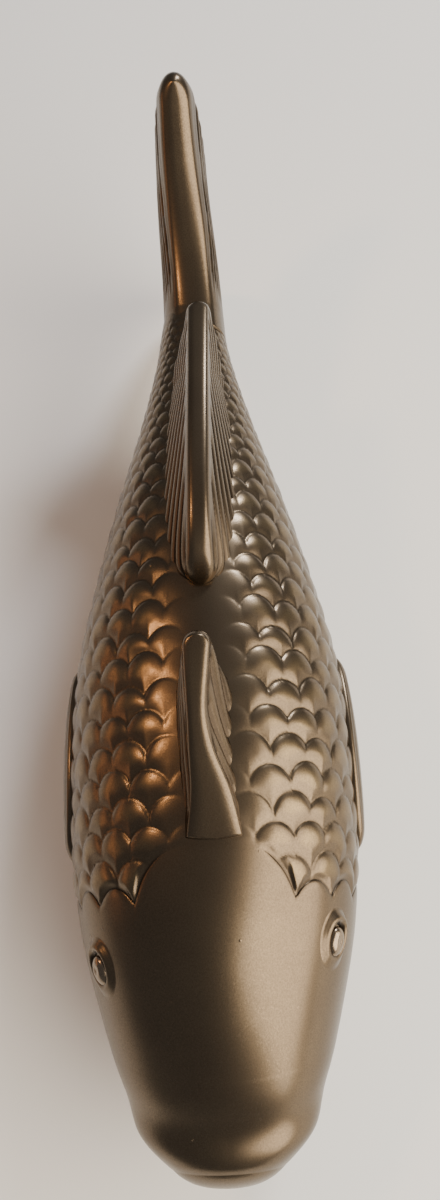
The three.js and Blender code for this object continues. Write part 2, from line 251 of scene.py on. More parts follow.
def build_grids(
    name: str,
    node: str,
    finishes: list[bpy.types.Material],
    *grids: tuple[int, int, Place],
) -> None:
    """Makes a glazed piece from grids that close on themselves or on each other.

    Args:
        name: the piece's name.
        node: the CAD node it stands for.
        finishes: the glaze, and where the piece has unglazed faces the clay.
        grids: for each grid its columns, its rows and the function that places its points.
    """
    mesh = bmesh.new()
    for columns, rows, place in grids:
        lay_grid(mesh, columns, rows, place)
    close_up(mesh)
    if len(finishes) > 1:
        mark_bare(mesh)
    make_piece(mesh, name, node, finishes)


# ---- finishes ----
def linear(colour: str) -> tuple[float, float, float, float]:
    """Turns an sRGB hex colour into linear values with full alpha."""
    channels = [int(colour[i : i + 2], 16) / 255 for i in (1, 3, 5)]
    return (*(c / 12.92 if c <= 0.04045 else ((c + 0.055) / 1.055) ** 2.4 for c in channels), 1.0)


def add_node(
    tree: bpy.types.NodeTree,
    kind: str,
    inputs: dict[str | int, Any],
    settings: dict[str, Any] | None = None,
) -> bpy.types.Node:
    """Adds one node.

    Args:
        tree: the tree that takes it.
        kind: its type.
        inputs: for each input, by name or number, a socket to link or a value to set.
        settings: its own properties.

    Returns:
        The node.
    """
    node = tree.nodes.new(kind)
    for name, value in (settings or {}).items():
        setattr(node, name, value)
    for key, value in inputs.items():
        if isinstance(value, bpy.types.NodeSocket):
            tree.links.new(value, node.inputs[key])
        else:
            node.inputs[key].default_value = value
    return node


def new_material(name: str) -> tuple[bpy.types.Material, bpy.types.NodeTree]:
    """A material with an empty node tree."""
    material = bpy.data.materials.new(name)
    material.use_nodes = True
    material.node_tree.nodes.clear()
    return material, material.node_tree


def surface(tree: bpy.types.NodeTree, shader: bpy.types.Node) -> None:
    """Links a shader to the material's surface."""
    add_node(tree, "ShaderNodeOutputMaterial", {"Surface": shader.outputs[0]})


def waves_per_metre(millimetres: float) -> float:
    """A noise texture's scale for features of this size."""
    return 1.0 / (millimetres * MM)


RANGE = ("Value", "From Min", "From Max", "To Min", "To Max")  # the inputs of a map range node


@dataclass(frozen=True)
class LustreGlaze:
    """Bronze lustre glaze on stoneware: a metal-rich dark glaze, fired to a satin sheen.

    The metal crusts into a fine sparkling grain. The colour is darker in the carving and paler on raised
    edges: painted shade and painted highlights, laid over the glaze's own pooling and breaking.
    """

    name: str = "bronze_lustre_glaze"
    body: str = "#6b5d4a"
    cloud: str = "#52463a"
    pool: str = "#17100a"
    break_and_highlight_colour: str = "#8f7b58"
    darkest_pool_and_shade_at: float = -0.6  # the relief at which the painted shade, with the glaze's pool, is darkest
    pool_and_shade_strength: float = 0.8
    break_and_highlight_from: float = 0.45  # the relief from which a highlight is painted paler, with the glaze's break
    breaking: float = 0.55
    metallic: float = 0.97
    roughness: float = 0.3
    roughness_spread: float = 0.06
    coat: float = 0.1
    coat_roughness: float = 0.14
    cloud_mm: float = 55.0  # slow drift of the lustre
    grain_mm: float = 0.8  # the real grain is near 0.3 mm and is drawn this coarse so that it shows
    grain_height_mm: float = 0.01
    grain_low: float = 0.3  # the noise's value at the darkest and roughest grain
    grain_high: float = 0.72  # its value at the palest grain
    satin_high: float = 0.7  # its value at the smoothest grain
    grain_dark: float = 0.79
    grain_pale: float = 1.24
    pimple_mm: float = 26.0  # spacing of the small glaze pimples
    pimple_radius_mm: float = 0.9

    def make(self) -> bpy.types.Material:
        """Builds the material."""
        material, tree = new_material(self.name)
        place = add_node(tree, "ShaderNodeTexCoord", {}).outputs["Object"]
        relief = add_node(tree, "ShaderNodeAttribute", {}, {"attribute_name": RELIEF}).outputs["Fac"]
        drift, grain = (
            add_node(
                tree,
                "ShaderNodeTexNoise",
                {"Vector": place, "Scale": waves_per_metre(size), "Detail": detail, "Roughness": rough},
            ).outputs["Fac"]
            for size, detail, rough in ((self.cloud_mm, 3.0, 0.55), (self.grain_mm, 2.0, 0.7))
        )
        cells = add_node(
            tree,
            "ShaderNodeTexVoronoi",
            {"Vector": place, "Scale": waves_per_metre(self.pimple_mm), "Randomness": 1.0},
        ).outputs["Distance"]
        rough = self.roughness + self.roughness_spread / 2
        smooth = self.roughness - self.roughness_spread / 2
        # Low relief mixes in the dark tint as painted shade and high relief the pale tint as painted
        # highlight, over the glaze's own pooling and breaking.
        pool_and_shade_mix, break_and_highlight_mix, sparkle, satin, pimple = (
            add_node(
                tree, "ShaderNodeMapRange", dict(zip(RANGE, row)), {"interpolation_type": easing}
            ).outputs[0]
            for easing, *row in (
                ("LINEAR", relief, 0.0, self.darkest_pool_and_shade_at, 0.0, self.pool_and_shade_strength),
                ("LINEAR", relief, self.break_and_highlight_from, 1.0, 0.0, self.breaking),
                ("LINEAR", grain, self.grain_low, self.grain_high, self.grain_dark, self.grain_pale),
                ("LINEAR", grain, self.grain_low, self.satin_high, rough, smooth),
                ("SMOOTHSTEP", cells, 0.0, self.pimple_radius_mm / self.pimple_mm, 1.0, 0.0),
            )
        )
        colour = linear(self.cloud)
        for amount, tint in ((drift, self.body), (pool_and_shade_mix, self.pool), (break_and_highlight_mix, self.break_and_highlight_colour)):
            colour = add_node(
                tree, "ShaderNodeMix", {0: amount, 6: colour, 7: linear(tint)}, {"data_type": "RGBA"}
            ).outputs[2]
        bright = add_node(
            tree, "ShaderNodeVectorMath", {0: colour, "Scale": sparkle}, {"operation": "SCALE"}
        ).outputs[0]
        grit = add_node(
            tree,
            "ShaderNodeBump",
            {"Height": grain, "Strength": 1.0, "Distance": self.grain_height_mm * MM},
        ).outputs[0]
        skin = add_node(
            tree,
            "ShaderNodeBump",
            {"Height": pimple, "Strength": 1.0, "Distance": self.pimple_radius_mm * MM / 3, "Normal": grit},
        ).outputs[0]
        shader = add_node(
            tree,
            "ShaderNodeBsdfPrincipled",
            {
                "Base Color": bright,
                "Metallic": self.metallic,
                "Roughness": satin,
                "Coat Weight": self.coat,
                "Coat Roughness": self.coat_roughness,
                "Normal": skin,
            },
        )
        surface(tree, shader)
        return material


@dataclass(frozen=True)
class DryMatter:
    """A dry, matt stuff whose fine grain runs between two colours."""

    name: str
    dark: str
    pale: str
    grain_mm: float
    detail: float
    distortion: float
    flatness: float  # the grain's size over its height
    roughness: float
    sheen: float

    def make(self) -> bpy.types.Material:
        """Builds the material."""
        material, tree = new_material(self.name)
        place = add_node(tree, "ShaderNodeTexCoord", {}).outputs["Object"]
        grain = add_node(
            tree,
            "ShaderNodeTexNoise",
            {
                "Vector": place,
                "Scale": waves_per_metre(self.grain_mm),
                "Detail": self.detail,
                "Distortion": self.distortion,
            },
        ).outputs["Fac"]
        colour = add_node(
            tree,
            "ShaderNodeMix",
            {0: grain, 6: linear(self.dark), 7: linear(self.pale)},
            {"data_type": "RGBA"},
        ).outputs[2]
        height = self.grain_mm * MM / self.flatness
        bump = add_node(tree, "ShaderNodeBump", {"Height": grain, "Distance": height}).outputs[0]
        shader = add_node(
            tree,
            "ShaderNodeBsdfPrincipled",
            {
                "Base Color": colour,
                "Roughness": self.roughness,
                "Sheen Weight": self.sheen,
                "Normal": bump,
            },
        )
        surface(tree, shader)
        return material


# Unglazed stoneware, wiped clean before the firing: a dry, toasted clay with fine grog.
BARE_STONEWARE = DryMatter(
    name="bare_stoneware",
    dark="#6b4f3a",
    pale="#8c6f55",
    grain_mm=1.2,
    detail=4.0,
    distortion=0.0,
    flatness=8.0,
    roughness=0.88,
    sheen=0.0,
)
# Pressed wool felt: a matt, slightly hairy sheet of crossing fibres.
PRESSED_FELT = DryMatter(
    name="pressed_felt",
    dark="#2b2a28",
    pale="#4a4844",
    grain_mm=0.6,
    detail=5.0,
    distortion=1.5,
    flatness=3.0,
    roughness=0.95,
    sheen=0.4,
)


@dataclass(frozen=True)
class PaleFloor:
    """Plain matt studio paper."""

    name: str = "pale_paper"
    colour: str = "#ececea"
    roughness: float = 0.9

    def make(self) -> bpy.types.Material:
        """Builds the material."""
        material, tree = new_material(self.name)
        shader = add_node(
            tree,
            "ShaderNodeBsdfPrincipled",
            {"Base Color": linear(self.colour), "Roughness": self.roughness, "Specular IOR Level": 0.2},
        )
        surface(tree, shader)
        return material


@dataclass
class Finishes:
    """The materials of the whole figure."""

    glaze: bpy.types.Material = field(default_factory=lambda: LustreGlaze().make())
    bead: bpy.types.Material = field(
        default_factory=lambda: LustreGlaze(
            name="eye_glaze",
            body="#8a7a66",
            cloud="#6d5f50",
            roughness=0.24,
            roughness_spread=0.06,
            coat=0.3,
            coat_roughness=0.08,
            grain_height_mm=0.008,
        ).make()
    )
    clay: bpy.types.Material = field(default_factory=BARE_STONEWARE.make)
    felt: bpy.types.Material = field(default_factory=PRESSED_FELT.make)


# ---- the body ----
# Each row is a place along the body as a share of its length, then the half width as a share of the
# widest, and the top, the widest height and the bottom as shares of the back's height.
STATION_ROWS = (
    (0.0, 0.5, 0.57, 0.42, 0.3),
    (0.052, 0.62, 0.665, 0.435, 0.22),
    (0.15, 0.81, 0.82, 0.46, 0.085),
    (0.255, 0.955, 0.93, 0.5, -0.01),
    (0.4, 1.0, 0.995, 0.535, -0.045),
    (0.54, 0.95, 1.0, 0.55, -0.05),
    (0.66, 0.79, 0.98, 0.57, -0.03),
    (0.755, 0.63, 0.94, 0.6, 0.07),
    (0.86, 0.43, 0.885, 0.65, 0.265),
    (0.94, 0.3, 0.86, 0.69, 0.42),
    (1.0, 0.24, 0.865, 0.7, 0.48),
)


@dataclass
class BodySkin:
    """The body's smooth skin before any carving. Its overall sizes come from the frame, in millimetres."""

    nose: float
    length: float
    half_width: float
    back: float
    foot: float
    nose_rounding: float = 25.0
    wall: float = 6.0

    @classmethod
    def from_frame(cls) -> "BodySkin":
        """Measures the CAD shells."""
        head_low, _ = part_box("head_shell")
        flank_low, flank_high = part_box("left_flank_shell")
        nose = head_low.x / MM
        return cls(
            nose=nose,
            length=flank_high.x / MM - nose,
            half_width=-flank_low.y / MM,
            back=flank_high.z / MM,
            foot=flank_low.z / MM,
        )

    def __post_init__(self) -> None:
        """Keeps the station rows as columns."""
        self.rows = np.array(STATION_ROWS).T

    def section(self, along: Array, grow: Array | float = 0.0) -> tuple[Array, Array, Array, Array]:
        """The section at a distance from the nose.

        Args:
            along: distance from the nose.
            grow: how far the skin is moved out.

        Returns:
            The half width, the height of the widest line, the rise above it and the drop below it.
        """
        half, middle, rise, drop = self.open_section(along)
        closing = quarter_round((along + grow) / (self.nose_rounding + grow))
        return (half + grow) * closing, middle, (rise + grow) * closing, (drop + grow) * closing

    def open_section(self, along: Array) -> tuple[Array, Array, Array, Array]:
        """The section at a distance from the nose, as it would be if the snout didn't close."""
        share = np.clip(along / self.length, 0.0, 1.0)
        half, top, middle, bottom = (through(self.rows[0], row, share) for row in self.rows[1:])
        sizes = (half * self.half_width, middle * self.back, (top - middle) * self.back)
        return *sizes, (middle - bottom) * self.back

    def point(
        self,
        along: Array,
        around: Array,
        side: int = 1,
        grow: Array | float = 0.0,
        floor: float | None = None,
    ) -> Array:
        """Points of the skin.

        Args:
            along: distance from the nose.
            around: angle from the middle of the back, half a turn at the belly.
            side: sign of Y.
            grow: how far the skin is moved out.
            floor: the flat foot's height, where the skin is cut.

        Returns:
            The points.
        """
        half, middle, rise, drop = self.section(along, grow)
        lift = np.cos(around)
        height = middle + lift * np.where(lift > 0, rise, drop)
        if floor is not None:
            height = np.maximum(height, floor)
        return column(self.nose + along, side * half * np.sin(around), height)

    def radius(self, along: Array) -> Array:
        """The mean radius of the section."""
        half, _, rise, drop = self.section(along)
        return (half + (rise + drop) / 2) / 2

    def top(self, x: Array, across: Array | float = 0.0) -> Array:
        """The height of the back at x and at a distance from the middle."""
        half, middle, rise, _ = self.section(np.asarray(x) - self.nose)
        return middle + rise * np.sqrt(np.clip(1 - (across / np.maximum(half, LEAST)) ** 2, 0, 1))

    def bottom(self, x: Array) -> Array:
        """The height of the belly at x."""
        _, middle, _, drop = self.section(np.asarray(x) - self.nose)
        return middle - drop

    def angle_at(self, along: Array, height: Array) -> Array:
        """The angle from the back at which the skin has this height."""
        _, middle, rise, drop = self.section(along)
        above = height - middle
        return np.arccos(np.clip(above / np.where(above > 0, rise, drop), -1, 1))


@dataclass
class GillLine:
    """The border of the head plate, which lies over the first scales.

    A wide arch crosses the nape, then come two scallops as wide as a scale, and then the gill cover's
    edge, which bows to the tail and runs forward to the throat. Distances are from the nose.
    """

    nape: float = 155.0
    corner: float = 128.5
    arch: float = 0.556  # angle round the body where the nape's arch ends
    arch_power: float = 3.4  # how broad the arch's top is
    arch_ending: float = 0.85  # how steeply its ends run into the corners
    scallops: int = 2
    scallop: float = 0.34  # angle that one takes up
    scallop_depth: float = 8.5
    throat: float = 98.0
    cover_bow: float = 24.0
    depth: float = 0.95
    edge: float = 4.2  # width of the rounded edge
    plain: float = 0.3  # angle round the body within which the plate runs on without a step
    step_rise: float = 0.12  # angle over which the step reaches its depth
    reach: float = 0.05  # angle over which the border's slope is measured
    girth: float = 68.0  # the body's mean radius there

    def at(self, around: Array) -> Array:
        """The border's distance from the nose at these angles from the back."""
        turn = np.abs(around)
        bow = np.clip(1 - (turn / self.arch) ** self.arch_power, 0, 1) ** self.arch_ending
        arch = self.corner + (self.nape - self.corner) * bow
        ripple = (turn - self.arch) / self.scallop
        share = ripple % 1.0
        scallops = self.corner + self.scallop_depth * 4 * share * (1 - share)
        cover_start = self.arch + self.scallops * self.scallop
        down = np.clip((turn - cover_start) / (math.pi - cover_start), 0, 1)
        cover = self.corner + (self.throat - self.corner) * down + self.cover_bow * 4 * down * (1 - down)
        return np.where(turn < self.arch, arch, np.where(ripple < self.scallops, scallops, cover))

    def gap(self, along: Array, around: Array) -> Array:
        """How far points lie behind the border, measured square to it.

        Args:
            along: distance from the nose.
            around: angle from the back.

        Returns:
            The distances, below 0 in front of the border.
        """
        turn = np.abs(around)
        slope = (self.at(turn + self.reach) - self.at(turn - self.reach)) / (2 * self.reach)
        return (along - self.at(around)) / np.hypot(1.0, slope / self.girth)

    def step(self, around: Array) -> Array:
        """The depth of the step at these angles."""
        return self.depth * smoothstep(self.plain, self.plain + self.step_rise, np.abs(around))


@dataclass
class ScaleCoat:
    """Overlapping scales in soft relief. Their number round the body stays the same, so that they
    shrink with it towards the tail. Shares are of the distance between neighbouring scales."""

    skin: BodySkin
    per_side: float = 11.5
    row_share: float = 0.7
    reach: float = 0.57  # half the width of a scale's free edge
    stretch: float = 1.12  # how much further the free edge reaches back than its half width
    first_row: float = 121.8  # the scallops of the gill line are the first row
    lift: float = 0.068
    groove: float = 0.022
    edge: float = 0.4  # width over which a free edge rolls off
    lip: float = 0.07  # width of its last crisp turn
    crisp: float = 0.3  # the part of the height that this turn takes
    hollow: float = 0.3
    swell: float = 0.9  # below 1 makes a scale fuller
    back_fade: tuple[float, float] = (0.35, 1.9)  # in scales from the middle of the back
    belly_fade: tuple[float, float] = (9.0, 10.6)
    tail_fade: float = 14.0  # in millimetres before the end of the tail stock
    samples: int = 481
    shift_rows: int = 128
    shift_columns: int = 32
    jitter: float = 0.085
    seed: int = 11

    def __post_init__(self) -> None:
        """Works out the rows along the body and how far each scale is out of place."""
        self.turn = math.pi / self.per_side
        self.stations = np.linspace(0, self.skin.length, self.samples)
        rows = np.cumsum(1 / (self.row_share * self.turn * self.skin.radius(self.stations[1:])))
        rows = np.concatenate(([0.0], rows)) * (self.stations[1] - self.stations[0])
        self.rows = rows - np.interp(self.first_row, self.stations, rows) + 1
        chance = np.random.default_rng(self.seed)
        self.shift = chance.uniform(-self.jitter, self.jitter, (self.shift_rows, self.shift_columns, 2))

    def inside_edge(self, row: Array, rows: Array, columns: Array) -> Array:
        """How far a point lies inside the free edges of a row of scales, below 0 where it is beyond.

        Args:
            row: the row's number for each point.
            rows: the points' own place along the rows.
            columns: their place round the body.

        Returns:
            The distances, as shares.
        """
        offset = 0.5 * (row % 2)
        nearest = np.round(columns - offset).astype(int)
        best = np.full(columns.shape, np.inf)
        for step in (-1, 0, 1):
            number = nearest + step
            shift = self.shift[row.astype(int) % self.shift_rows, number % self.shift_columns]
            across = columns - number - offset - shift[:, 0]
            beyond = (rows - row) * self.row_share - shift[:, 1]
            best = np.minimum(best, np.hypot(across, np.maximum(beyond, 0) / self.stretch))
        return self.reach - best

    def height(self, along: Array, around: Array) -> tuple[Array, Array]:
        """The scales' relief.

        Args:
            along: distance from the nose.
            around: angle from the back, 0 or more.

        Returns:
            The height over the smooth skin in millimetres, and the relief as a share of a scale's lift,
            which paints shade in the grooves and highlights near the free edges.
        """
        rows = np.interp(along, self.stations, self.rows)
        columns = around / self.turn
        pitch = self.turn * self.skin.radius(along)
        near = np.ceil(rows - 1)
        first, before, own, after = (
            self.inside_edge(near + step, rows, columns) for step in (-2, -1, 0, 1)
        )
        covers = [before >= 0, own >= 0]
        edge = np.select(covers, [before, own], np.maximum(after, 0))
        base = np.maximum(np.select(covers, [-first, -before], -own), 0)
        climb = np.sin(math.pi / 2 * base / (base + edge + SPECK)) ** self.swell
        sunk = self.groove * (smoothstep(0, self.hollow, base) - 1)
        top = sunk + self.lift * climb
        soft = np.sin(math.pi / 2 * np.clip(edge / self.edge, 0, 1))
        turn = soft * (1 - self.crisp) + quarter_round(edge / self.lip) * self.crisp
        height = -self.groove + (top + self.groove) * turn
        fade = smoothstep(*self.back_fade, columns) * (1 - smoothstep(*self.belly_fade, columns))
        fade = fade * (1 - smoothstep(self.skin.length - self.tail_fade, self.skin.length, along))
        height = height * fade
        return height * pitch, height / self.lift


LIP_LENGTH = 10.0  # how far the lips stand in front of the nose, in millimetres
VALLEY_AT = 30.0  # distance from the front of the lips to the middle of the valley behind them
VALLEY_SWEEP = 20.0  # how much further back the valley lies at the corner of the mouth
LIP_FEATHER = 30.0  # distance from the valley to the place where a lip runs out


def valley_at(fold: Array) -> Array:
    """Where the valley behind a lip lies.

    Args:
        fold: share of the way from the middle of the lip to the corner of the mouth.

    Returns:
        Its distance behind the front of the lips.
    """
    return VALLEY_AT + VALLEY_SWEEP * np.clip(fold, 0, 1) ** 2


def lip_back(fold: Array) -> Array:
    """Where a lip's back runs out into the head, as valley_at gives the valley."""
    return valley_at(fold) + LIP_FEATHER


@dataclass
class Head:
    """The smooth head: snout, cheeks, nape and gill covers, one press-moulded shell."""

    skin: BodySkin
    gills: GillLine
    columns: int = 170
    rows: int = 340
    coarse: int = 5
    lip_seat: float = 5.2  # the skin is pressed in under the lips
    seat_fade: tuple[float, float] = (17.0, 8.0)  # where this starts and ends, before the lips run out
    crowding: float = 1.3  # above 1 brings the rows closer together towards the gill line
    # how dark the painted shade along the border's step is, with the glaze's pool there
    pool_and_shade_strength: float = 0.5
    highlight_line_at: float = 1.2  # where a highlight line is painted along the border, as a share of the edge's width
    highlight_line_sharpness: float = 3.0
    highlight_line_strength: float = 0.4

    def outer(self, run: Array, turn: Array) -> tuple[Array, Array]:
        """The glazed side."""
        around = (2 * turn - 1) * math.pi
        border = self.gills.at(around)
        along = self.lip_seat + (border - self.lip_seat) * (1 - (1 - run) ** self.crowding)
        gap = -self.gills.gap(along, around)
        edge = quarter_round(gap / self.gills.edge)
        step = -self.gills.step(around) * (1 - edge)
        fold = np.minimum(np.abs(around), math.pi - np.abs(around)) / (math.pi / 2)
        reach = lip_back(fold) - LIP_LENGTH
        start, end = self.seat_fade
        seat = -self.lip_seat * (1 - smoothstep(reach - start, reach - end, along))
        # a painted highlight line just inside the border
        rim = np.exp(-((gap / self.gills.edge - self.highlight_line_at) ** 2) * self.highlight_line_sharpness)
        # painted shade along the step where the head plate lies over the scales, with the glaze's pool
        relief = self.pool_and_shade_strength * step / self.gills.depth
        relief = relief + self.highlight_line_strength * rim * self.gills.step(around) / self.gills.depth
        spots = self.skin.point(along, around, 1, step + seat, self.skin.foot)
        return spots, np.where(spots[:, 2] <= self.skin.foot, BARE, relief)

    def inner(self, run: Array, turn: Array) -> tuple[Array, Array]:
        """The inside of the wall."""
        around = (2 * turn - 1) * math.pi
        wall = self.skin.wall
        along = wall + (self.gills.at(around) - wall) * (1 - (1 - run) ** self.crowding)
        spots = self.skin.point(along, around, 1, -wall, self.skin.foot + wall)
        return spots, np.full(run.shape, BARE)

    def build(self, finishes: Finishes) -> None:
        """Makes the head."""
        build_grids(
            "head",
            "head_shell",
            [finishes.glaze, finishes.clay],
            (self.columns, self.rows, self.outer),
            (self.columns // self.coarse, self.rows // self.coarse, self.inner),
        )


@dataclass
class Flank:
    """One scaled flank, from the gill line to the end of the tail stock, with its half of the foot."""

    skin: BodySkin
    gills: GillLine
    scales: ScaleCoat
    side: Side
    columns: int = 370
    rows: int = 240
    coarse: int = 10
    vent_radius: float = 6.0
    vent_at: float = 0.5  # share of the body's length
    vent_spread: float = 3.0  # how far the vent bends the grid, in its radii
    emerge: float = 4.2  # width over which the first scales come out from under the head plate
    shade: float = 3.0  # how much narrower the painted shade along the head plate's edge is
    # how dark this painted shade is, with the glaze's pool
    pool_and_shade_strength: float = 0.5
    back_crowding: float = 0.22  # how much closer together the rows lie at the back

    def spread(self, run: Array, turn: Array) -> tuple[Array, Array]:
        """Distances from the nose and angles from the back, closer together towards the back."""
        around = math.pi * turn * (1 - self.back_crowding + self.back_crowding * turn)
        border = self.gills.at(around)
        return border + (self.skin.length - border) * run, around

    def notch(self, spots: Array) -> Array:
        """Bends the belly edge round the firing vent."""
        reach = spots[:, 0] - self.skin.nose - self.vent_at * self.skin.length
        chord = np.sqrt(np.clip(self.vent_radius**2 - reach**2, 0, None))
        out = np.abs(spots[:, 1])
        low = spots[:, 2] < self.skin.back / 4
        near = np.clip(1 - out / (self.vent_spread * self.vent_radius), 0, 1)
        spots[:, 1] += np.where(low, self.side.value * chord * near, 0)
        return spots

    def outer(self, run: Array, turn: Array) -> tuple[Array, Array]:
        """The glazed side."""
        along, around = self.spread(run, turn)
        height, relief = self.scales.height(along, around)
        step = self.gills.step(around)
        gap = self.gills.gap(along, around)
        out = smoothstep(0, self.emerge, gap)
        height = height * out - step * (1 - out)
        # painted shade along the step under the head plate
        shade = 1 - smoothstep(0, self.emerge / self.shade, gap)
        relief = relief * out - self.pool_and_shade_strength * shade * step / self.gills.depth
        spots = self.skin.point(along, around, self.side.value, height, self.skin.foot)
        spots = self.notch(spots)
        return spots, np.where(spots[:, 2] <= self.skin.foot, BARE, relief)

    def inner(self, run: Array, turn: Array) -> tuple[Array, Array]:
        """The inside of the wall."""
        along, around = self.spread(run, turn)
        wall = self.skin.wall
        spots = self.skin.point(along, around, self.side.value, -wall, self.skin.foot + wall)
        return self.notch(spots), np.full(run.shape, BARE)

    def build(self, finishes: Finishes) -> None:
        """Makes the flank."""
        build_grids(
            f"{self.side.word}_flank",
            f"{self.side.word}_flank_shell",
            [finishes.glaze, finishes.clay],
            (self.columns, self.rows, self.outer),
            (self.columns // self.coarse, self.rows // self.coarse, self.inner),
        )


# ---- upright fins ----
@dataclass
class Blade:
    """An upright fin: a thick leaf between four outlines in the side view, with a rounded crest.

    Shares: run goes from its front to its rear, and down from its crest to its root.

    Attributes:
        widths: rows of a share along the fin, half the thickness at the crest and at the root there, and
            how far the crest leans to the right.
        rounding: radius of the crest's edges.
        front_cap: share of the length over which the front closes.
        rear_cap: the same at the rear of the crest.
        root_cap: the same at the rear of the root.
        crowding: how much closer together the columns lie at the two ends.
        pool_and_shade_strength: how much a cut of a millimetre is darkened by painted shade, with the
            glaze's pool.
    """

    skin: BodySkin
    name: str
    node: str
    crest: Outline
    root: Outline
    front: Outline
    rear: Outline
    widths: tuple[tuple[float, float, float, float], ...]
    rounding: float = 3.0
    front_cap: float = 0.02
    rear_cap: float = 0.06
    root_cap: float = 0.06
    crowding: float = 0.6
    pool_and_shade_strength: float = 0.5
    columns: int = 150
    rows: int = 150

    def spots(self, run: Array, down: Array) -> Array:
        """Points in the side view, blended from the four outlines."""
        across = (1 - down)[:, None] * self.crest.at(run) + down[:, None] * self.root.at(run)
        length = (1 - run)[:, None] * self.front.at(down) + run[:, None] * self.rear.at(down)
        corners = (
            ((1 - run) * (1 - down))[:, None] * self.crest.at(0 * run)
            + (run * (1 - down))[:, None] * self.crest.at(0 * run + 1)
            + ((1 - run) * down)[:, None] * self.root.at(0 * run)
            + (run * down)[:, None] * self.root.at(0 * run + 1)
        )
        return across + length - corners

    def __post_init__(self) -> None:
        """Keeps the widths as columns."""
        self.knots, self.crest_half, self.root_half, self.crest_lean = np.array(self.widths).T

    def half(self, run: Array, down: Array) -> Array:
        """Half the thickness."""
        crest, root = (through(self.knots, row, run) for row in (self.crest_half, self.root_half))
        return crest + (root - crest) * down

    def lean(self, run: Array, down: Array) -> Array:
        """How far the middle of the thickness leans to the right."""
        return through(self.knots, self.crest_lean, run) * (1 - down)

    def carve(self, run: Array, down: Array, hand: Array, spots: Array) -> Array:
        """How deep the carving cuts, in millimetres. hand is -1 on the left and 1 on the right."""
        return np.zeros(run.shape)

    def ring(self, turn: Array, height: Array) -> tuple[Array, Array]:
        """Goes once round the section: over the crest, down the left, under the keel and up the right.

        Args:
            turn: share of the way round.
            height: the section's height.

        Returns:
            The share down from the crest, and the share of the half thickness with its sign.
        """
        arc, flank, most = 0.2, 0.3, 0.45
        lip = np.minimum(self.rounding / height, most)
        bend = np.where(turn < arc, turn / arc, (turn - arc - flank) / arc) * math.pi
        wave = np.sqrt(np.abs(np.cos(bend))) * np.sign(np.cos(bend))
        dip = lip * (1 - np.sqrt(np.abs(np.sin(bend))))
        falling = lip + (1 - 2 * lip) * (turn - arc) / flank
        rising = lip + (1 - 2 * lip) * (1 - turn) / flank
        over, left = turn < arc, turn < arc + flank
        under = (~left) & (turn < 2 * arc + flank)
        down = np.select([over, left, under], [dip, falling, 1 - dip], rising)
        out = np.select([over, left, under], [wave, -1.0, -wave], 1.0)
        return down, out

    def place(self, along: Array, turn: Array) -> tuple[Array, Array]:
        """The fin's surface."""
        run = (1 - np.cos(along * math.pi)) / 2 * self.crowding + along * (1 - self.crowding)
        height = np.linalg.norm(self.crest.at(run) - self.root.at(run), axis=1)
        down, out = self.ring(turn, np.maximum(height, 1.0))
        spots = self.spots(run, down)
        rear_cap = self.rear_cap + (self.root_cap - self.rear_cap) * down
        cap = quarter_round(run / self.front_cap) * quarter_round((1 - run) / rear_cap)
        cut = self.carve(run, down, np.where(out < 0, -1.0, 1.0), spots)
        across = out * cap * (self.half(run, down) - cut) + self.lean(run, down)
        # painted shade in the cuts, with the glaze's pool
        return column(spots[:, 0], across, spots[:, 1]), -self.pool_and_shade_strength * cut

    def build(self, finishes: Finishes) -> None:
        """Makes the fin."""
        build_grids(self.name, self.node, [finishes.glaze], (self.columns, self.rows, self.place))


def flute(place: Array) -> Array:
    """A row of round-backed rays with sharp grooves between them: 0 on a ray's back, 1 in a groove."""
    return 1 - np.sqrt(np.abs(np.sin(math.pi * place)))


class FrontDorsal(Blade):
    """The front dorsal fin: a wedge with a plain leading facet, leaf-shaped rays cut into its left side
    and fine lines along its right side."""

    leaf: tuple[float, float, float] = (4.0, 13.5, 1.3)  # depth, pitch and rake
    line: tuple[float, float, float] = (1.8, 6.0, 0.2)
    leaf_start: float = 0.3  # where the first leaf lies, in pitches
    shoulder: float = 15.0  # distance from the middle at which the rays' foot is measured
    step: float = 2.4  # height of its foot over the back
    buried: float = 12.0  # depth of its root

    @classmethod
    def from_frame(cls, skin: BodySkin) -> "FrontDorsal":
        """Takes its place from the CAD fin."""
        low, high = box_mm("front_dorsal_fin")
        foot, heel, tip = low.x + 1, high.x, high.z
        step = skin.top(foot) + cls.step
        buried = skin.top(heel) - cls.buried
        length = heel - foot
        return cls(
            skin=skin,
            name="front_dorsal",
            node="front_dorsal_fin",
            crest=Outline((foot, step), [((foot + length * 0.55, tip - 11), (heel - 4, tip))]),
            root=Outline((foot - 0.5, step - cls.buried), [((heel - 8, buried),)]),
            front=Outline((foot, step), [((foot - 0.5, step - cls.buried),)]),
            rear=Outline(
                (heel - 4, tip),
                [
                    ((heel + 1, tip - 3), (heel - 1, tip - 8)),
                    ((heel - 12, buried + 22), (heel - 8, buried)),
                ],
            ),
            widths=(
                (0.0, 13.7, 15.5, -1.7),
                (0.24, 9.2, 17.0, -0.5),
                (0.45, 5.4, 18.0, 3.4),
                (0.6, 4.2, 18.0, 4.6),
                (0.85, 5.5, 17.5, 3.6),
                (1.0, 6.5, 16.0, 2.6),
            ),
            root_cap=0.22,
        )

    def carve(self, run: Array, down: Array, hand: Array, spots: Array) -> Array:
        """Slanting leaf-shaped rays on the left, near-level fine lines on the right."""
        above = spots[:, 1] - self.skin.top(spots[:, 0], self.shoulder)
        depth, pitch, rake = self.leaf
        leaf = depth * flute((spots[:, 0] - rake * above) / pitch + self.leaf_start)
        depth, pitch, rake = self.line
        cut = np.where(hand < 0, leaf, depth * flute((above - rake * spots[:, 0]) / pitch))
        inset = smoothstep(0.08, 0.2, down) * smoothstep(-1.0, 2.0, above)
        return cut * inset * smoothstep(0.06, 0.2, run) * (1 - smoothstep(0.93, 0.99, run))


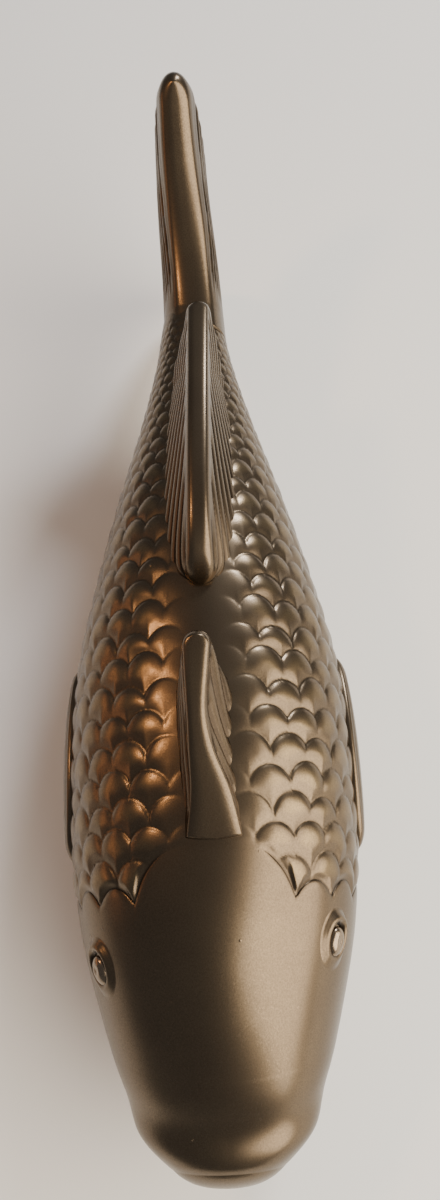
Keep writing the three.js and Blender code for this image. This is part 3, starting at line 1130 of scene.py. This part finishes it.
class RearDorsal(Blade):
    """The rear dorsal fin: long, with a steep fluted nose, a plain ridge and an overhanging tip."""

    ray: tuple[float, float, float] = (3.4, 13.5, 1.9)  # depth, pitch and rake
    drift: tuple[float, float] = (0.2, 19.0)  # how far the pitch drifts, in pitches, and over what length
    shoulder: float = 12.0  # distance from the middle at which the rays' foot is measured
    root_lean: float = 0.4  # the root's share of the crest's lean
    overhang: float = 36.0  # length of the free tip

    @classmethod
    def from_frame(cls, skin: BodySkin) -> "RearDorsal":
        """Takes its place from the CAD fin."""
        low, high = box_mm("rear_dorsal_fin")
        nose, end, crest = low.x, high.x, high.z
        base = float(skin.top(nose))
        heel = end - cls.overhang
        heel_base = float(skin.top(heel))
        return cls(
            skin=skin,
            name="rear_dorsal",
            node="rear_dorsal_fin",
            crest=Outline(
                (nose, base + 1),
                [
                    ((nose + 7, crest - 6), (nose + 42, crest - 2)),
                    ((nose + 80, crest + 2), (end - 40, crest - 4), (end - 3, crest - 13)),
                ],
            ),
            root=Outline(
                (nose + 2, base - 12),
                [
                    ((heel, heel_base - 14),),
                    ((heel + 8, heel_base + 1), (heel + 12, heel_base + 7), (end - 5, crest - 21)),
                ],
            ),
            front=Outline((nose, base + 1), [((nose + 2, base - 12),)]),
            rear=Outline((end - 3, crest - 13), [((end + 2, crest - 18), (end - 5, crest - 21))]),
            widths=(
                (0.0, 7.5, 17.0, 0.0),
                (0.12, 5.6, 23.0, 0.0),
                (0.5, 5.2, 22.5, -2.2),
                (0.8, 5.4, 15.5, -4.0),
                (1.0, 5.6, 7.2, -5.0),
            ),
            rounding=4.0,
            front_cap=0.09,
            rear_cap=0.03,
            root_cap=0.03,
            columns=300,
            rows=180,
        )

    def lean(self, run: Array, down: Array) -> Array:
        """The whole rear of the fin leans, its crest more than its root."""
        straighten = (1 - self.root_lean) * down * (1 - smoothstep(0.7, 1.0, run))
        return through(self.knots, self.crest_lean, run) * (1 - straighten)

    def carve(self, run: Array, down: Array, hand: Array, spots: Array) -> Array:
        """Rays that lean far back along both sides."""
        above = spots[:, 1] - self.skin.top(spots[:, 0], self.shoulder)
        depth, pitch, rake = self.ray
        amount, length = self.drift
        drift = amount * np.sin(spots[:, 0] / length)
        rays = depth * flute((spots[:, 0] - rake * above) / pitch + drift)
        inset = smoothstep(0.08, 0.2, down) * smoothstep(-4.0, -1.0, above)
        return rays * inset * (1 - smoothstep(0.9, 0.99, run))


class TailFin(Blade):
    """The forked tail fin: a thick wedge with a plain upper edge and rays that fan out to the fork."""

    cover: float = 14.0  # length of the tail stock that the fin's root wraps
    sunk: float = 1.3  # depth of the root's front end in the skin
    proud: float = 0.4  # height of the root over the end of the tail stock
    full: float = 20.0  # half the thickness in the middle of the root
    taper: float = 4.5  # how much of it goes by the rim
    swell: tuple[float, float] = (0.5, 0.18)  # share of the height over which it fills, and its loss
    ray_depth: float = 2.8
    ray_count: int = 23

    @classmethod
    def from_frame(cls, skin: BodySkin) -> "TailFin":
        """Takes its place from the CAD fin."""
        low_box, high_box = box_mm("tail_fin")
        end, tip, toe = high_box.x, high_box.z, low_box.z
        stock = low_box.x
        top, low = float(skin.top(stock)), float(skin.bottom(stock))
        middle = (top + low) / 2
        start = stock - cls.cover
        start_top = float(skin.top(start)) - cls.sunk
        start_low = float(skin.bottom(start)) + cls.sunk
        return cls(
            skin=skin,
            name="tail",
            node="tail_fin",
            crest=Outline(
                (start, start_top),
                [((stock, top + cls.proud),), ((stock + 46, top + 14), (end - 12, tip - 1))],
            ),
            root=Outline(
                (start, start_low),
                [((stock, low - cls.proud),), ((stock + 26, low - 14), (end - 28, toe + 3))],
            ),
            front=Outline((start, start_top), [((start, start_low),)]),
            rear=Outline(
                (end - 12, tip - 1),
                [
                    ((end, tip + 1), (end, tip - 12)),
                    ((end - 4, middle + 34), (end - 52, middle - 4)),
                    ((end - 16, toe + 44), (end - 14, toe + 9)),
                    ((end - 16, toe - 1), (end - 28, toe + 3)),
                ],
            ),
            widths=(
                (0.0, 4.8, 4.8, -2.5),
                (0.35, 5.0, 5.0, -0.5),
                (0.7, 5.0, 5.0, 2.5),
                (1.0, 4.6, 4.6, 3.0),
            ),
            rounding=5.0,
            front_cap=0.01,
            rear_cap=0.1,
            root_cap=0.1,
            columns=150,
            rows=280,
        )

    def half(self, run: Array, down: Array) -> Array:
        """Half the thickness: full in the middle of its height, thin along the edges."""
        full = self.full - self.taper * run
        edge = super().half(run, down)
        share, loss = self.swell
        swell = quarter_round(np.minimum(down, 1 - down) / (share - loss * smoothstep(0.0, 0.5, run)))
        return edge + (full - edge) * swell

    def carve(self, run: Array, down: Array, hand: Array, spots: Array) -> Array:
        """Rays from the tail stock to the rim."""
        rays = self.ray_depth * flute(down * self.ray_count)
        inset = smoothstep(0.035, 0.07, down) * (1 - smoothstep(0.94, 0.98, down))
        return rays * inset * smoothstep(0.12, 0.34, run)


class AnalFin(Blade):
    """The anal fin, a short wedge under the tail stock."""

    ray: tuple[float, float, float] = (0.9, 6.5, 0.9)  # depth, pitch and rake
    buried: float = 12.0  # depth of its root
    heel_back: float = 8.0  # distance from its heel to its end

    @classmethod
    def from_frame(cls, skin: BodySkin) -> "AnalFin":
        """Takes its place from the CAD fin."""
        low, high = box_mm("anal_fin")
        start, end, edge = low.x, high.x, low.z
        length = end - start
        heel = end - cls.heel_back
        base, heel_base = float(skin.bottom(start)), float(skin.bottom(heel))
        return cls(
            skin=skin,
            name="anal_fan",
            node="anal_fin",
            crest=Outline(
                (start + 1, base),
                [
                    ((start + 6, base - 6), (start + length * 0.6, edge)),
                    ((end - 4, edge - 1), (end, edge + 10)),
                ],
            ),
            root=Outline((start + 1, base + cls.buried), [((heel, heel_base + cls.buried),)]),
            front=Outline((start + 1, base), [((start + 1, base + cls.buried),)]),
            rear=Outline(
                (end, edge + 10), [((end - 14, heel_base - 6), (heel, heel_base + cls.buried))]
            ),
            widths=((0.0, 4.0, 7.2, 0.0), (0.5, 3.7, 6.5, 0.0), (1.0, 3.4, 5.4, 0.0)),
            columns=70,
            rows=90,
        )

    def carve(self, run: Array, down: Array, hand: Array, spots: Array) -> Array:
        """Rays that lean back."""
        below = self.skin.bottom(spots[:, 0]) - spots[:, 1]
        depth, pitch, rake = self.ray
        rays = depth * flute((spots[:, 0] - rake * below) / pitch)
        return rays * smoothstep(0.06, 0.15, down) * smoothstep(0.5, 3, below)


# ---- fins that lie along the flanks ----
@dataclass
class FlankFin:
    """A leaf-shaped fin that lies along the flank, with fine rays along it."""

    skin: BodySkin
    side: Side
    name: str
    node: str
    start: float
    end: float
    root_height: float
    tip_height: float
    breadth: float
    thickness: float
    rays: int = 7
    ray_depth: float = 0.8
    broadest: float = 0.8  # below 1 brings the broadest place forward
    bluntness: float = 0.62  # below 1 makes the leaf blunter
    root_width: float = 0.36  # share of the breadth
    root_cap: float = 0.04
    seat: float = 2.0  # depth of its underside in the skin
    roundness: float = 0.55  # below 1 makes its edge blunter
    end_cap: float = 0.12
    pool_and_shade_strength: float = 0.6
    columns: int = 110
    rows: int = 80

    @classmethod
    def from_frame(cls, skin: BodySkin, side: Side, kind: str, thickness: float) -> "FlankFin":
        """Takes its place from the CAD fin.

        Args:
            skin: the body it lies on.
            side: the flank.
            kind: pectoral or pelvic.
            thickness: how far it stands proud.

        Returns:
            The fin.
        """
        node = f"{side.word}_{kind}_fin"
        low, high = box_mm(node)
        height = high.z - low.z
        return cls(
            skin=skin,
            side=side,
            name=f"{side.word}_{kind}",
            node=node,
            start=low.x - skin.nose,
            end=high.x - skin.nose,
            root_height=low.z + height * 0.48,
            tip_height=low.z + height * 0.62,
            breadth=height * 0.96,
            thickness=thickness,
        )

    def place(self, run: Array, turn: Array) -> tuple[Array, Array]:
        """The fin's surface, over its back and under it."""
        share = (1 - np.cos(run * math.pi)) / 2
        along = self.start + (self.end - self.start) * share
        swell = np.sin(math.pi * share**self.broadest) ** self.bluntness
        root = self.root_width * (1 - share) * quarter_round(share / self.root_cap)
        width = self.breadth / 2 * np.maximum(swell, root)
        bend = turn * 2 * math.pi
        across, out = np.cos(bend), np.sin(bend)
        ends = quarter_round(np.minimum(share, 1 - share) / self.end_cap)
        proud = np.where(out > 0, self.thickness, self.seat) * np.sign(out)
        proud = proud * np.abs(out) ** self.roundness * ends
        cut = self.ray_depth * flute(across * self.rays / 2) * (out > 0.2) * smoothstep(0.05, 0.3, share)
        centre = self.root_height + (self.tip_height - self.root_height) * share
        around = self.skin.angle_at(along, centre + across * width)
        cut = cut * (1 - smoothstep(0.8, 0.98, share))
        # painted shade in the ray cuts, with the glaze's pool
        return self.skin.point(along, around, self.side.value, proud - cut), -self.pool_and_shade_strength * cut

    def build(self, finishes: Finishes) -> None:
        """Makes the fin."""
        build_grids(self.name, self.node, [finishes.glaze], (self.columns, self.rows, self.place))


# ---- lips ----
@dataclass
class Lip:
    """A lip: a broad soft roll round the blunt snout, which runs out into the head behind a valley.

    The lips are the two halves of one muzzle and part at its widest line. Distances are from the
    muzzle's front.
    """

    skin: BodySkin
    name: str
    node: str
    upward: int  # 1 for the upper lip and -1 for the lower
    set_back: float
    plan_rounding: float = 42.0  # length over which the muzzle closes, seen from above
    side_rounding: float = 14.0  # the same, seen from the side
    fullness: float = 2.5  # power of the rounding seen from above
    roll: float = 1.6
    valley: float = 2.0
    roll_at: float = 14.0
    roll_width: float = 9.0
    valley_width: float = 10.0
    wall: float = 5.0
    parting: float = 2.0  # depth of the rounded edge along the mouth
    parting_width: float = 0.1
    roll_sweep: float = 14.0  # how much further back the roll lies at the corner of the mouth
    valley_fade: float = 0.7  # share of the valley that is gone there
    proud: float = 0.05  # height over the head behind the roll
    tuck: float = 0.2  # how far the back edge is turned under
    tuck_length: float = 7.5
    crowding: float = 1.5  # above 1 brings the rows closer together towards the front
    corner: float = 0.94  # share of the way to the corner from which shade is painted along the parting
    # how dark the painted shade along the parting is
    pool_and_shade_strength: float = 0.2
    # the side against the head is painted dark, as shade between lip and head
    hidden_side_shade_relief: float = -0.5
    droop: float = 0.14  # how far the corners of the mouth hang, in radians
    columns: int = 190
    rows: int = 130

    def muzzle(self, run: Array, back: Array, sunk: float) -> Array:
        """Points of the muzzle.

        Args:
            run: share across the lip, from the corner of the mouth on the left to the one on the right.
            back: share from the front to the lip's back.
            sunk: how far the surface lies inside.

        Returns:
            The points.
        """
        fold = np.abs(2 * run - 1)
        hand = np.where(run < 0.5, -1.0, 1.0)
        front = sunk + self.set_back * (1 - back)
        reach = lip_back(fold)
        behind = front + (reach - front) * back**self.crowding
        half, middle, rise, drop = self.skin.open_section(behind - LIP_LENGTH)
        upright = rise if self.upward > 0 else drop
        roll_at = self.roll_at + self.roll_sweep * fold**2
        valley = self.valley * (1 - self.valley_fade * fold)
        swell = self.roll * np.exp(-(((behind - roll_at) / self.roll_width) ** 2))
        swell = swell - valley * np.exp(-(((behind - valley_at(fold)) / self.valley_width) ** 2))
        swell = swell + self.proud - self.tuck * smoothstep(-self.tuck_length, 0.0, behind - reach)
        swell = swell - self.parting * smoothstep(1 - self.parting_width, 1.0, fold) ** 2 * (1 - back**4)
        from_front = behind - front
        plan = 1 - np.clip(1 - from_front / self.plan_rounding, 0, 1) ** self.fullness
        plan = plan ** (1 / self.fullness)
        side = quarter_round(from_front / self.side_rounding)
        angle = fold * (math.pi / 2 + self.upward * self.droop * back)
        across = (half + swell - sunk) * plan * np.sin(angle) * hand
        height = middle + self.upward * (upright + swell - sunk) * side * np.cos(angle)
        return column(self.skin.nose - LIP_LENGTH + behind, across, height)

    def outer(self, run: Array, back: Array) -> tuple[Array, Array]:
        """The glazed side."""
        fold = np.abs(2 * run - 1)
        # painted shade along the parting of the lips, fading towards the back
        return self.muzzle(run, back, 0.0), -self.pool_and_shade_strength * smoothstep(self.corner, 1.0, fold) * (1 - back)

    def inner(self, run: Array, back: Array) -> tuple[Array, Array]:
        """The side against the head."""
        return self.muzzle(run, back, self.wall), np.full(run.shape, self.hidden_side_shade_relief)

    def build(self, finishes: Finishes) -> None:
        """Makes the lip."""
        build_grids(
            self.name,
            self.node,
            [finishes.glaze],
            (self.columns, self.rows, self.outer),
            (self.columns, self.rows, self.inner),
        )


# ---- eyes ----
# The socket's section runs from its soft outer skirt over the rim to the bead and back underneath. Each row
# is a share of the way, then the radius as a share of the rim's, and the height as a share of the rim's.
SOCKET_ROWS = (
    (0.0, 1.55, -0.07),
    (0.14, 1.38, 0.1),
    (0.28, 1.2, 0.5),
    (0.42, 1.0, 0.92),
    (0.5, 0.88, 0.9),
    (0.58, 0.78, 0.6),
    (0.68, 0.68, 0.05),
    (0.78, 0.7, -0.6),
    (0.88, 1.2, -1.0),
    (1.0, 1.55, -0.07),
)


@dataclass
class Eye:
    """An eye: an oval socket that swells softly out of the cheek, and a glossy bead in it."""

    skin: BodySkin
    side: Side
    along: float
    around: float
    long_radius: float = 10.4
    short_radius: float = 8.3
    rim_height: float = 2.5
    bead: tuple[float, float, float] = (7.4, 5.6, 3.6)
    bead_ahead: float = -1.2  # the bead sits towards the nose, so that a hollow opens behind it
    bead_rise: float = 0.4
    dimple: float = 0.9
    dimple_width: float = 0.3  # share of the bead's radius
    rim_tilt: float = 0.3  # how much higher the rim is at its rear
    hollow: tuple[float, float] = (0.74, 0.9)  # radii between which the painted shade in the hollow, with the glaze's pool, ends
    pool_and_shade_strength: float = 0.6
    crest: tuple[float, float] = (1.7, 2.6)  # heights between which a highlight is painted on the rim, with the glaze's break
    breaking: float = 0.5
    columns: int = 96
    rows: int = 60
    bead_segments: int = 56
    bead_rings: int = 32

    def spot(self, ahead: Array, above: Array, out: Array) -> Array:
        """Points over the cheek, from distances along and up the cheek and out of it."""
        reach = self.skin.radius(np.array([self.along]))[0]
        return self.skin.point(self.along + ahead, self.around - above / reach, self.side.value, out)

    def socket(self, turn: Array, ring: Array) -> tuple[Array, Array]:
        """The socket's surface: each section goes from its soft outer skirt over the rim to the bead."""
        shares, radii, heights = np.array(SOCKET_ROWS).T
        radius = through(shares, radii, ring)
        height = through(shares, heights, ring) * self.rim_height
        bend = turn * 2 * math.pi
        height = height * (1 + self.rim_tilt * np.cos(bend))
        ahead = radius * self.long_radius * np.cos(bend)
        above = radius * self.short_radius * np.sin(bend)
        # painted shade in the hollow round the bead, and a painted highlight on the rim's crest
        pool = self.pool_and_shade_strength * (1 - smoothstep(*self.hollow, radius))
        return self.spot(ahead, above, height), smoothstep(*self.crest, height) * self.breaking - pool

    def build(self, finishes: Finishes) -> None:
        """Makes the socket and the bead."""
        word = self.side.word
        build_grids(
            f"{word}_eye_socket",
            f"{word}_eye_ring",
            [finishes.glaze],
            (self.columns, self.rows, self.socket),
        )
        ball = bmesh.new()
        bmesh.ops.create_uvsphere(
            ball, u_segments=self.bead_segments, v_segments=self.bead_rings, radius=1.0
        )
        ahead, above, out = np.array([vert.co for vert in ball.verts]).T
        pit = self.dimple * np.exp(-(ahead**2 + above**2) / self.dimple_width**2) * (out > 0)
        length, breadth, height = self.bead
        spots = self.spot(
            ahead * length + self.bead_ahead, above * breadth, out * height + self.bead_rise - pit
        )
        for vert, point in zip(ball.verts, spots * MM):
            vert.co = point
        face_out(ball)
        make_piece(ball, f"{word}_eye", f"{word}_eye_bead", [finishes.bead])


# ---- felt pads ----
@dataclass
class FeltPad:
    """A punched felt disc under the foot."""

    name: str
    node: str
    segments: int = 56
    edge: float = 0.35  # radius of the edge
    unevenness: float = 0.012  # how far the punched edge varies
    seed: int = 5

    def build(self, finishes: Finishes) -> None:
        """Makes the pad where the CAD pad is."""
        low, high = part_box(self.node)
        centre, size = (low + high) / 2, high - low
        mesh = bmesh.new()
        bmesh.ops.create_cone(
            mesh,
            cap_ends=True,
            segments=self.segments,
            radius1=size.x / 2,
            radius2=size.x / 2,
            depth=size.z,
            matrix=Matrix.Translation(centre),
        )
        rims = [edge for edge in mesh.edges if abs(edge.verts[0].co.z - edge.verts[1].co.z) < WELD]
        bmesh.ops.bevel(
            mesh, geom=rims, offset=self.edge * MM, affect="EDGES", segments=3, profile=0.5, material=-1
        )
        chance = np.random.default_rng(self.seed)
        for vert in mesh.verts:
            out = vert.co - centre
            shrink = 1 - self.unevenness * chance.random()
            vert.co.x, vert.co.y = centre.x + out.x * shrink, centre.y + out.y * shrink
        make_piece(mesh, self.name, self.node, [finishes.felt])


# ---- the stage ----
@dataclass
class Studio:
    """Floor, lights and camera. Places are in metres, in the figure's frame."""

    floor_size: float = 8.0
    camera_at: tuple[float, float, float] = (-0.1767, -0.0126, 0.6285)
    camera_aim: tuple[float, float, float] = (0.0417, -0.0086, 0.0)
    camera_roll: float = math.radians(-3.8)
    lens: float = 28.8
    sensor: float = 36.0
    near_clip: float = 0.01
    room_colour: str = "#c9ccd2"
    room_light: float = 0.33

    def build(self) -> None:
        """Sets the stage."""
        self.lay_floor()
        self.set_camera()
        self.hang_light("window", (-0.65, -1.05, 0.85), (-0.12, 0, 0.05), (1.7, 1.4), 56.0, "#fff2de")
        self.hang_light("warm_wall", (0.05, 1.1, 0.3), (-0.05, 0, 0.06), (0.9, 0.18), 0.95, "#ffae70")
        self.hang_light("warm_lamp", (0.1, 0.5, 0.85), (-0.05, 0, 0.1), (0.1, 0.1), 2.0, "#ffc48c")
        self.hang_light("high_lamp", (1.7, -1.0, 1.5), (0.3, 0, 0), (0.5, 0.5), 42.0, "#f2f4f8")
        self.light_room()

    def lay_floor(self) -> None:
        """The pale floor under the pads."""
        mesh = bmesh.new()
        bmesh.ops.create_grid(mesh, x_segments=1, y_segments=1, size=self.floor_size / 2)
        data = bpy.data.meshes.new("floor")
        mesh.to_mesh(data)
        mesh.free()
        data.materials.append(PaleFloor().make())
        add_object("floor", data)

    def set_camera(self) -> None:
        """The camera looks down over the snout towards the tail."""
        data = bpy.data.cameras.new("camera")
        data.lens = self.lens
        data.sensor_width = self.sensor
        data.clip_start = self.near_clip
        camera = add_object("camera", data)
        aim = Vector(self.camera_aim) - Vector(self.camera_at)
        turn = aim.to_track_quat("-Z", "Y").to_matrix().to_4x4() @ Matrix.Rotation(self.camera_roll, 4, "Z")
        camera.matrix_world = Matrix.Translation(self.camera_at) @ turn
        bpy.context.scene.camera = camera

    def hang_light(
        self,
        name: str,
        place: tuple[float, float, float],
        aim: tuple[float, float, float],
        size: tuple[float, float],
        power: float,
        colour: str,
    ) -> None:
        """Hangs a soft rectangular light.

        Args:
            name: its name.
            place: its centre.
            aim: the point that it faces.
            size: its width and height.
            power: in watts.
            colour: in sRGB.
        """
        data = bpy.data.lights.new(name, "AREA")
        data.shape = "RECTANGLE"
        data.size, data.size_y = size
        data.energy = power
        data.color = linear(colour)[:3]
        light = add_object(name, data)
        light.rotation_mode = "QUATERNION"
        light.location = place
        light.rotation_quaternion = (Vector(aim) - Vector(place)).to_track_quat("-Z", "Y")

    def light_room(self) -> None:
        """A dim, even room."""
        world = bpy.data.worlds.new("room")
        world.use_nodes = True
        world.node_tree.nodes.clear()
        back = add_node(
            world.node_tree,
            "ShaderNodeBackground",
            {"Color": linear(self.room_colour), "Strength": self.room_light},
        )
        add_node(world.node_tree, "ShaderNodeOutputWorld", {"Surface": back.outputs[0]})
        bpy.context.scene.world = world


@dataclass
class Carp:
    """The whole figure. Each eye's place is its distance from the nose and its angle from the back."""

    skin: BodySkin = field(default_factory=BodySkin.from_frame)
    gills: GillLine = field(default_factory=GillLine)
    left_eye: tuple[float, float] = (108.0, 0.96)
    right_eye: tuple[float, float] = (99.4, 1.01)
    lower_lip_back: float = 4.0  # how far the lower lip lies behind the upper
    pectoral_thickness: float = 5.6
    pelvic_thickness: float = 4.6

    def build(self) -> None:
        """Makes every piece."""
        finishes = Finishes()
        scales = ScaleCoat(self.skin)
        Head(self.skin, self.gills).build(finishes)
        for side in Side:
            Flank(self.skin, self.gills, scales, side).build(finishes)
        Lip(self.skin, "upper_lip_roll", "upper_lip", 1, 0.0).build(finishes)
        Lip(self.skin, "lower_lip_roll", "lower_lip", -1, self.lower_lip_back).build(finishes)
        for blade in (FrontDorsal, RearDorsal, TailFin, AnalFin):
            blade.from_frame(self.skin).build(finishes)
        for side, eye_at in ((Side.LEFT, self.left_eye), (Side.RIGHT, self.right_eye)):
            FlankFin.from_frame(self.skin, side, "pectoral", self.pectoral_thickness).build(finishes)
            FlankFin.from_frame(self.skin, side, "pelvic", self.pelvic_thickness).build(finishes)
            Eye(self.skin, side, *eye_at).build(finishes)
            for end in ("front", "rear"):
                FeltPad(f"{side.word}_{end}_felt", f"{side.word}_{end}_pad").build(finishes)


def main() -> None:
    """Builds the stage and the figure."""
    logging.basicConfig(level=logging.INFO, format="%(message)s")
    Studio().build()
    Carp().build()


if __name__ == "__main__":
    main()
